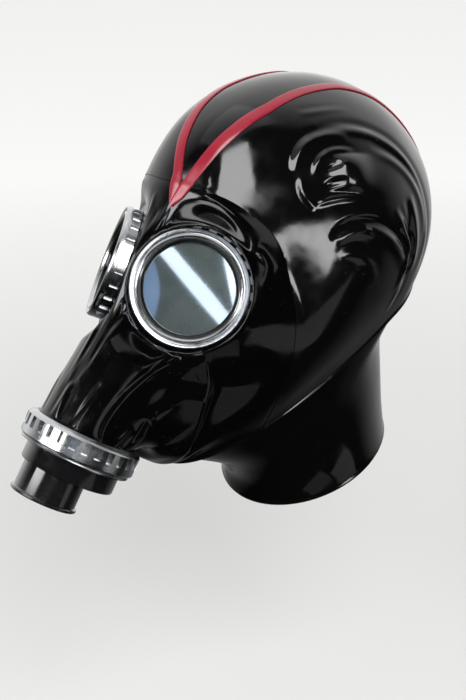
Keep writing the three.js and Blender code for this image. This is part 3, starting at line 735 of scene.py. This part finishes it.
def add_panel(name, sheet, fields, replaced):
    """One panel of the head: the sheet where every field is negative, with a cut edge."""
    vertices = np.hstack([sheet.grid.reshape(-1, 3), *(field.reshape(-1, 1) for field in fields)])
    triangles = grid_triangles(HEAD_COLUMNS, HEAD_ROWS)
    for k in range(len(fields)):
        vertices, triangles = clipped(vertices, triangles, vertices[:, 3 + k])
        vertices, triangles = used_only(vertices, triangles)
    vertices = vertices[:, :3]
    normals = vertex_normals(vertices, triangles)
    vertices, triangles = walled(vertices, triangles, normals, SHEET)
    piece = add_mesh(name, vertices, triangles, BLACK, sharp=60)
    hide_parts(replaced)
    return piece


past_middle = plain.grid[..., 0] - trim_middle(STATION)[0]
in_face = face_side + SEAM_GAP
outside_eyes = LENS_RING_BORE + EYE_MARGIN - to_lens
behind_face = SEAM_GAP - face_side
in_crown = crown_side + SEAM_GAP
beside_crown = SEAM_GAP - crown_side
face_sheet = add_panel("face_sheet", under_head, [in_face, outside_eyes], "face_piece")
add_panel("crown_sheet", over_head, [in_crown, behind_face], "crown_panel")
add_panel("skull_sheet_left", over_head, [beside_crown, behind_face, SEAM_GAP - past_middle], "skull_left")
add_panel("skull_sheet_right", over_head, [beside_crown, behind_face, SEAM_GAP + past_middle], "skull_right")


def neck_sheet():
    """The neck tube: from inside the head's edge, over a tight crease, down through the neck's sections."""
    rows = section_columns(NECK_SECTIONS)
    below = [section_point(rows, ANGLES, np.full(HEAD_COLUMNS, float(k))) for k in range(len(NECK_SECTIONS))]
    under = plain.grid - plain.normals * NECK_INSET
    tucked = under[:, np.searchsorted(STATIONS, LAST_STATION - NECK_TUCK)]
    edge = under[:, -1]
    crease = edge + (below[0] - edge) * NECK_CREASE
    knots = np.stack([tucked, edge, crease, *below], 1)
    places = np.linspace(0, knots.shape[1] - 1, NECK_ROWS)
    columns = [[natural_spline(line[:, axis])(places) for axis in range(3)] for line in knots]
    return Sheet(np.moveaxis(np.array(columns), 1, 2))


def add_neck():
    """The neck as a closed wall with a bead and a rounded rim, and long slight waves down its middle."""
    sheet = neck_sheet()
    row = np.linspace(0, 1, NECK_ROWS)[None, :]
    calm = smoothstep(row, 0.3, 0.5) * (1 - smoothstep(row, 0.93, 1))
    waves = calm * NECK_WAVE * smooth_noise(sheet.grid * [1, 1, 0.35], NECK_WAVE_LENGTH, seed=8)
    bead = NECK_BEAD * np.exp(-(((row - 1) / NECK_BEAD_SHARE) ** 2))
    sheet = sheet.raised(waves + bead)
    inner = sheet.grid - sheet.normals * NECK_SHEET
    onward = unit(sheet.grid[:, -1] - sheet.grid[:, -2])
    rim = (sheet.grid[:, -1] + inner[:, -1] + onward) / 2
    grid = np.concatenate([sheet.grid, rim[:, None], inner[:, ::-1]], 1)
    triangles = grid_triangles(HEAD_COLUMNS, grid.shape[1])
    piece = add_mesh("neck_sheet", grid.reshape(-1, 3), triangles, BLACK, sharp=70)
    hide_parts("neck_piece")


add_neck()


# A trim's rounded section: share of its half width across, share of its thickness up
TRIM_OUTLINE = [
    (-1, 0.0),
    (-1, 0.75),
    (-0.86, 1.0),
    (-0.4, 1.08),
    (0, 1.1),
    (0.4, 1.08),
    (0.86, 1.0),
    (1, 0.75),
    (1, 0.0),
]


def add_trim(side, name, replaced):
    """A crimson strip laid over a crown seam. The left one lies over the right one where they meet."""
    share = np.linspace(0, 1, TRIM_ROWS)
    station = TRIM_ROUTE[0, 0] + share * (LAST_STATION - 0.01 - TRIM_ROUTE[0, 0])
    row = np.interp(station, STATIONS, np.arange(HEAD_ROWS))
    lean, spread_out = trim_middle(station)
    half = (TRIM_WIDTH if side > 0 else FAR_TRIM_WIDTH) / 2 * smoothstep(share, -0.03, 0.06)
    lift = TRIM_LIFT + TRIM_TIP_LIFT * (1 - smoothstep(share, 0, 0.14)) * (side > 0)
    rows = []
    for across, up in TRIM_OUTLINE:
        sideways = lean + side * np.maximum(spread_out, 0.15) + across * half
        at = np.clip(np.abs(sideways) / HEAD["half"](station), 0, 1) ** (1 / HEAD["top_power"](station))
        angle = np.sign(sideways) * np.arcsin(at)
        column = (angle / np.pi + 1) / 2 * HEAD_COLUMNS
        rows.append(over_head.sample(column, row, up * TRIM_SHEET + lift * (up > 0)))
    grid = np.stack(rows)
    triangles = grid_triangles(len(TRIM_OUTLINE), TRIM_ROWS, closed=False)
    piece = add_mesh(name, grid.reshape(-1, 3), triangles, CRIMSON, sharp=50)
    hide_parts(replaced)


add_trim(1, "trim_strip_left", "trim_left")
add_trim(-1, "trim_strip_right", "trim_right")


# Turned pieces
def placed(axis, place, up=None):
    """The matrix that stands a turned piece's axis along a given one, its foot at a given place."""
    turn = Vector((0, 0, 1)).rotation_difference(Vector(axis)).to_matrix() if up is None else up
    return Matrix.Translation(Vector(place) * MM) @ turn.to_4x4()


def turned(profile, angles, closed=True):
    """Vertices and quads of a profile of (radius, height) turned about Z; radius may be a row for each angle."""
    rows = len(profile)
    grid = np.zeros((len(angles), rows, 3))
    for j, (radius, height) in enumerate(profile):
        grid[:, j, 0] = radius * np.cos(angles)
        grid[:, j, 1] = radius * np.sin(angles)
        grid[:, j, 2] = height
    i, j = np.meshgrid(np.arange(len(angles)), np.arange(rows if closed else rows - 1), indexing="ij")
    k, m = (i + 1) % len(angles), (j + 1) % rows
    quads = np.stack([i * rows + j, k * rows + j, k * rows + m, i * rows + m], -1).reshape(-1, 4)
    return grid.reshape(-1, 3), quads


def notched_angles(count, share, phase):
    """Angles round a ring with steep steps at the sides of its notches, and how deep each angle lies in one."""
    pitch = 2 * np.pi / count
    offsets = np.array([-0.5, -0.49, -0.25, 0, 0.25, 0.49, 0.5]) * share
    land = np.linspace(share / 2 + 0.012, 1 - share / 2 - 0.012, 7)
    steps = np.concatenate([offsets, land])
    depth = np.concatenate([[0.0], np.ones(5), [0.0], np.zeros(7)])
    angles = np.concatenate([(i + steps) * pitch + phase for i in range(count)])
    return angles, np.tile(depth, count)


def add_lens(side, name):
    axis = lens_axis(side)
    matrix = placed(axis, lens_seat(side) + axis * SHEET_GAP)
    bore, outer, top = LENS_RING_BORE, LENS_RING_RADIUS, LENS_RING_HEIGHT
    angles, depth = notched_angles(LENS_NOTCHES, 0.5, 0)
    cut = outer - LENS_NOTCH_DEPTH * depth
    foot = [(bore, -0.4), (outer - 2.2, -0.4), (cut - 0.5, -0.3), (cut, 0.2)]
    notches = [(cut, LENS_NOTCH_HEIGHT - 0.25), (outer, LENS_NOTCH_HEIGHT + 0.05)]
    bead = [(outer + 0.05, top - 1.7), (outer - 0.25, top - 0.7), (outer - 0.8, top - 0.1)]
    groove = [(outer - 1.5, top - 0.2), (outer - 2.1, top - 0.95), (outer - 2.7, top - 1.25), (outer - 3.2, top - 0.9)]
    lip = [(outer - 3.6, top - 0.25), (outer - 4.2, top), (outer - 4.8, top - 0.25)]
    inside = [(bore + 0.6, top - 1.2), (bore, top - 2.0)]
    profile = foot + notches + bead + groove + lip + inside
    ring = add_mesh(f"lens_frame_{name}", *turned(profile, angles), METAL, sharp=38, matrix=matrix)
    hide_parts(f"lens_ring_{name}")
    round_angles = np.linspace(0, 2 * np.pi, LENS_STEPS, endpoint=False)
    seal = [(bore + 0.1, 2.0), (GASKET_BORE, 2.0), (GASKET_BORE - 0.1, top - 3.6), (GASKET_BORE + 0.5, top - 2.7),
            (bore - 0.4, top - 2.1), (bore + 0.1, top - 2.3)]
    gasket = add_mesh(f"lens_seal_{name}", *turned(seal, round_angles), BLACK, sharp=50, matrix=matrix)
    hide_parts(f"lens_gasket_{name}")
    middle, rim = 0.02, GASKET_BORE + PANE_LAP
    radii = np.linspace(middle, rim, PANE_RINGS)
    dome = [(r, PANE_HEIGHT + PANE_DOME * (1 - (r / GASKET_BORE) ** 2)) for r in radii]
    pane = dome + [(rim, PANE_FOOT), (middle, PANE_FOOT)]
    glass = add_mesh(f"lens_pane_{name}", *turned(pane, round_angles), GLASS, sharp=50, matrix=matrix)
    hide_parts(f"lens_glass_{name}")


add_lens(1, "left")
add_lens(-1, "right")

connector_turn = Matrix([CONNECTOR_ACROSS, CONNECTOR_RISE, CONNECTOR_AXIS]).transposed()
connector_matrix = placed(CONNECTOR_AXIS, CONNECTOR_SEAT, connector_turn)


def add_connector_ring():
    angles, depth = notched_angles(RING_NOTCHES, 0.5, 0)
    low, high = RING_NOTCH_START, RING_NOTCH_START + RING_NOTCH_HEIGHT
    bore, heel, outer, top = MOUTH_RADIUS + 0.3, RING_HEEL_RADIUS, RING_RADIUS, RING_HEIGHT
    cut = outer - RING_NOTCH_DEPTH * depth
    foot = [(bore, 0), (heel, -0.2), (heel + 0.6, 0.2), (heel + 2.4, 1.0), (outer - 0.5, low - 0.9)]
    notches = [(outer, low - 0.3), (cut, low), (cut, high), (outer, high + 0.15)]
    groove = [(outer, top - 3.2), (outer - 0.5, top - 2.6), (outer - 1.7, top - 1.9), (outer - 1.9, top - 1.4)]
    lip = [(outer - 1.5, top - 0.9), (outer - 1.7, top - 0.2), (outer - 2.3, top), (bore, top)]
    profile = foot + notches + groove + lip
    ring = add_mesh("connector_collar", *turned(profile, angles), METAL, sharp=38, matrix=connector_matrix)
    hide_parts("connector_ring")


add_connector_ring()


def add_connector_body():
    """The plug in the ring: a cup and an offset stub joined, with the stub's bore cut through."""
    angles = np.linspace(0, 2 * np.pi, PLUG_STEPS, endpoint=False)
    rear, front = PLUG_REAR, RING_HEIGHT + BODY_DROP
    end = front + STUB_LENGTH
    bore = MOUTH_RADIUS - BODY_WALL
    cup = [
        (bore, rear), (MOUTH_RADIUS, rear), (MOUTH_RADIUS, front - 1.2), (MOUTH_RADIUS - 0.35, front - 0.4),
        (MOUTH_RADIUS - 1.2, front), (0.01, front), (0.01, front - BODY_WALL), (bore, front - BODY_WALL),
    ]
    foot, lip = front - BODY_WALL / 2, end - LIP_THICKNESS
    stub = [
        (0.01, foot), (STUB_RADIUS, foot), (STUB_RADIUS, lip - 0.4), (STUB_RADIUS + 0.6, lip),
        (LIP_RADIUS - 0.3, lip), (LIP_RADIUS, lip + 0.4), (LIP_RADIUS, end - 0.6), (LIP_RADIUS - 0.6, end),
        (0.01, end),
    ]
    hole = [(0.01, front - 8), (STUB_BORE, front - 8), (STUB_BORE, end + 8), (0.01, end + 8)]
    shapes = []
    for name, profile, shift in (("cup", cup, 0), ("stub", stub, STUB_OFFSET), ("hole", hole, STUB_OFFSET)):
        vertices, quads = turned(profile, angles)
        shapes.append(add_mesh(name, vertices + [0, shift, 0], quads, PLASTIC))
    body = shapes[0]
    for tool, operation in ((shapes[1], "UNION"), (shapes[2], "DIFFERENCE")):
        modifier = body.modifiers.new(operation, "BOOLEAN")
        modifier.operation = operation
        modifier.solver = "EXACT"
        modifier.object = tool
    bpy.context.view_layer.update()
    made = bpy.data.meshes.new_from_object(body.evaluated_get(bpy.context.evaluated_depsgraph_get()))
    body.modifiers.clear()
    body.data = made
    made.polygons.foreach_set("use_smooth", np.ones(len(made.polygons), bool))
    made.set_sharp_from_angle(angle=math.radians(30))
    for shape in shapes[1:]:
        bpy.data.objects.remove(shape)
    body.name = "connector_plug"
    body.matrix_world = connector_matrix
    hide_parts("connector_body")


add_connector_body()


# Stage: a pale floor that glows with painted light, soft lights and a room that is bright behind the mask and dim
# behind the camera
CAMERA_AZIMUTH = math.radians(44.5)
CAMERA_ELEVATION = math.radians(22.5)
CAMERA_DISTANCE = 0.975
CAMERA_LENS = 83.3
CAMERA_SENSOR = 36
TARGET = Vector((0, -0.048, -0.1594))


def direction(azimuth, elevation):
    return Vector((
        math.sin(azimuth) * math.cos(elevation),
        -math.cos(azimuth) * math.cos(elevation),
        math.sin(elevation),
    ))


def add_camera():
    data = bpy.data.cameras.new("camera")
    data.lens = CAMERA_LENS
    data.sensor_width = CAMERA_SENSOR
    camera = bpy.data.objects.new("camera", data)
    bpy.context.scene.collection.objects.link(camera)
    back = direction(CAMERA_AZIMUTH, CAMERA_ELEVATION)
    camera.location = TARGET + back * CAMERA_DISTANCE
    camera.rotation_mode = "QUATERNION"
    camera.rotation_quaternion = (-back).to_track_quat("-Z", "Y")
    bpy.context.scene.camera = camera


def add_light(
    name, azimuth, elevation, distance, width, height, power, color=(1, 1, 1), roll=0.0, shape="RECTANGLE"
):
    """A softbox that faces the mask: angles in degrees, distance and sizes in metres, power in watts."""
    data = bpy.data.lights.new(name, "AREA")
    data.shape = shape
    data.size = width
    data.size_y = height
    data.energy = power
    data.color = color
    light = bpy.data.objects.new(name, data)
    bpy.context.scene.collection.objects.link(light)
    away = direction(math.radians(azimuth), math.radians(elevation))
    light.location = TARGET + away * distance
    light.rotation_mode = "QUATERNION"
    spin = Matrix.Rotation(math.radians(roll), 3, "Z").to_quaternion()
    light.rotation_quaternion = (-away).to_track_quat("-Z", "Y") @ spin
    light.visible_camera = False
    return light


def link_light(light, pieces, state):
    """Lets a light fall on these pieces only (INCLUDE) or on all but them (EXCLUDE), as a studio flag does."""
    group = bpy.data.collections.new(f"{light.name}_flag")
    light.light_linking.receiver_collection = group
    for piece in pieces:
        group.objects.link(piece)
    for entry in group.collection_objects:
        entry.light_linking.link_state = state


def add_floor():
    half, level = 6000.0, -430.0
    corners = np.array([(-half, -half, level), (half, -half, level), (half, half, level), (-half, half, level)])
    material, tree, shader = new_material("pale_floor", (0.41, 0.41, 0.403), 0.9)
    patches = spread(tree, noise(tree, 0.8), 0.3, 0.7, 0, 1)
    tint = mixed_color(tree, patches, (0.403, 0.403, 0.394), (0.417, 0.417, 0.411))
    tree.links.new(tint, shader.inputs["Base Color"])
    # Painted light: the floor glows, dimmer near the mask and brighter further out, in place of light falling on it.
    reach = node(tree, "ShaderNodeVectorMath", operation="LENGTH")
    tree.links.new(object_space(tree), reach.inputs[0])
    painted_floor_glow = spread(tree, reach.outputs["Value"], 0.5, 1.35, 0.24, 0.6)
    tree.links.new(painted_floor_glow, shader.inputs["Emission Strength"])
    shader.inputs["Emission Color"].default_value = (1, 1, 0.985, 1)
    mesh = bpy.data.meshes.new("floor")
    mesh.from_pydata([tuple(c * MM) for c in corners], [], [(0, 1, 2, 3)])
    mesh.materials.append(material)
    floor = bpy.data.objects.new("floor", mesh)
    bpy.context.scene.collection.objects.link(floor)
    floor.visible_glossy = False


def add_world():
    """Bright behind the mask as the camera sees it, and dim on the other side."""
    world = bpy.data.worlds.new("studio")
    world.use_nodes = True
    tree = world.node_tree
    tree.nodes.clear()
    place = node(tree, "ShaderNodeTexCoord")
    turn = node(tree, "ShaderNodeVectorMath", operation="DOT_PRODUCT")
    behind = -direction(CAMERA_AZIMUTH, math.radians(-10))
    turn.inputs[1].default_value = behind
    tree.links.new(place.outputs["Generated"], turn.inputs[0])
    level = spread(tree, turn.outputs["Value"], 0.0, 0.6, 0.012, 1.25)
    parts = node(tree, "ShaderNodeSeparateXYZ")
    tree.links.new(place.outputs["Generated"], parts.inputs["Vector"])
    low = spread(tree, parts.outputs["Z"], -0.55, 0.0, 0.15, 1)
    shade = node(tree, "ShaderNodeBackground", Color=(1, 1, 0.99, 1))
    tree.links.new(product(tree, level, low), shade.inputs["Strength"])
    out = node(tree, "ShaderNodeOutputWorld")
    tree.links.new(shade.outputs["Background"], out.inputs["Surface"])
    bpy.context.scene.world = world


add_camera()
add_world()
add_floor()
key_box = add_light("key_box", 62.5, 39, 1.5, 0.72, 1.05, 22)
side_box = add_light("side_box", 91.5, 4, 1.5, 0.76, 0.2, 4.4, roll=-34)
add_light("front_box", -9, 29, 1.6, 1.1, 0.55, 17)
add_light("strip", 42.7, 26.4, 1.9, 0.075, 1.5, 2.7, roll=41)
add_light("left_box", 31.5, 25.5, 1.7, 0.24, 0.4, 0.5, color=(0.45, 0.65, 1), shape="ELLIPSE")
add_light("top_fill", 0, 85, 2.2, 2.0, 2.0, 7)
add_light("panel_right", 108, -24, 1.6, 0.7, 0.45, 0.4)
add_light("panel_low", 74, -36, 1.6, 0.8, 0.5, 0.3)
brow_box = add_light("brow_box", 27, -3, 1.4, 0.55, 0.42, 3.5)
face_fill = add_light("face_fill", 84, 17, 1.5, 0.5, 0.4, 0.5)
link_light(key_box, [face_sheet], "EXCLUDE")
link_light(side_box, [face_sheet], "EXCLUDE")
link_light(brow_box, [face_sheet], "INCLUDE")
link_light(face_fill, [face_sheet], "INCLUDE")
bpy.context.scene.view_settings.view_transform = "Standard"
